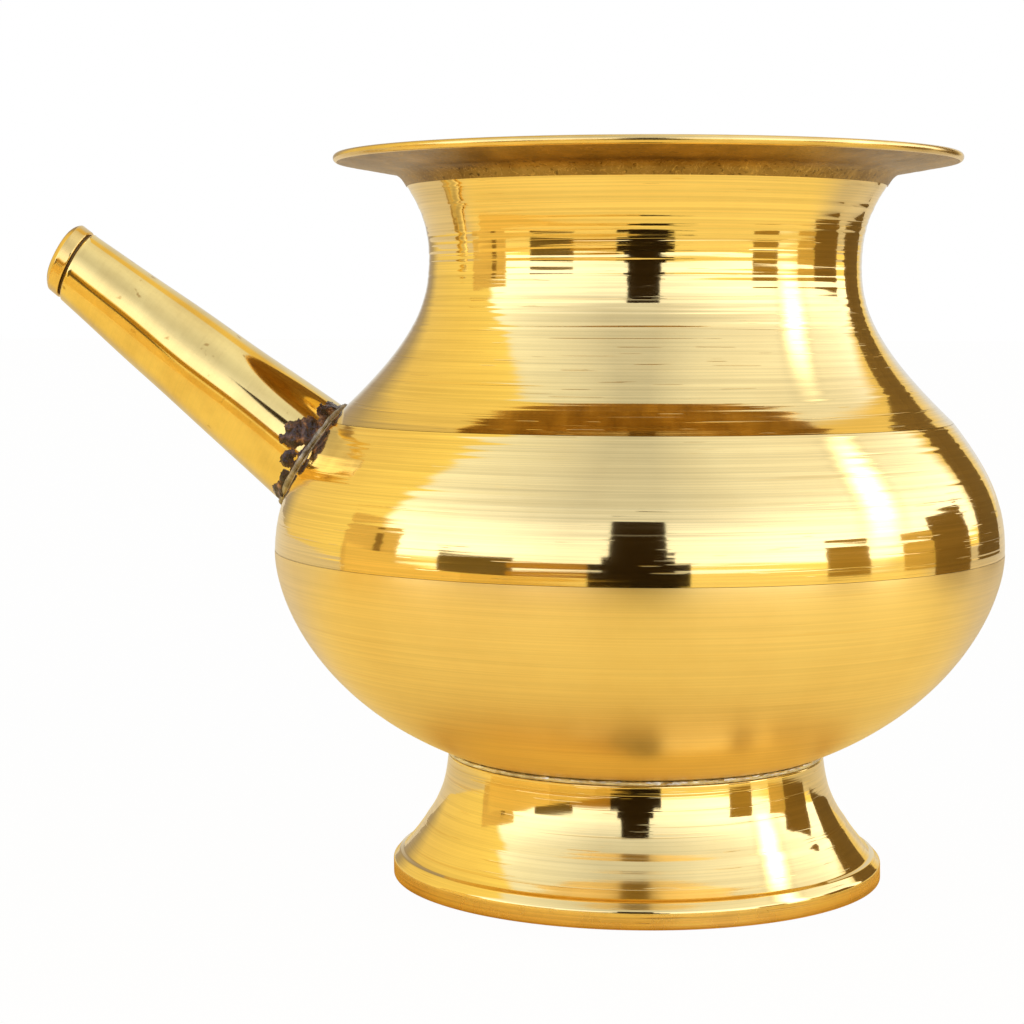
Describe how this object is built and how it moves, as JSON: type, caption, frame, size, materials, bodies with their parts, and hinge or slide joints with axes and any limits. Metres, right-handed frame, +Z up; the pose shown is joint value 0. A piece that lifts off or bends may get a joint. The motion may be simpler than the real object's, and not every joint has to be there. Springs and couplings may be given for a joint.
{
  "type": "neti pot",
  "caption": "Brass nasal-rinse pot: a round bowl on a hollow flared foot, with a drawn-in neck, a wide flared rim and a slanted tapered spout with a beaded tip.",
  "frame": {"origin": "on the surface that the foot stands on, under the middle of the pot's footprint box", "axes": "+Z up along the vessel's axis, which stands at x = 18.57 mm; the spout points to -X"},
  "size_m": [0.1492, 0.112, 0.1111],
  "materials": {
    "turned_brass": "turned bright, with fine tool lines",
    "satin_brass": "turned and rubbed to a satin",
    "cast_brass": "as cast below, polished along the edge",
    "braze": "dull, burnt by flux",
    "solder": "grainy, dull grey"
  },
  "bodies": {
    "root": {"lower_bowl": "satin_brass", "shoulder_band": "turned_brass", "neck_sleeve": "turned_brass", "rim_flange": "cast_brass", "pedestal_foot": "turned_brass", "spout_tube": "turned_brass", "spout_nosepiece": "turned_brass", "belly_braze_ring": "braze", "shoulder_braze_ring": "braze", "rim_braze_ring": "braze", "spout_braze_fillet": "braze", "foot_solder_ring": "solder"}
  },
  "joints": []
}
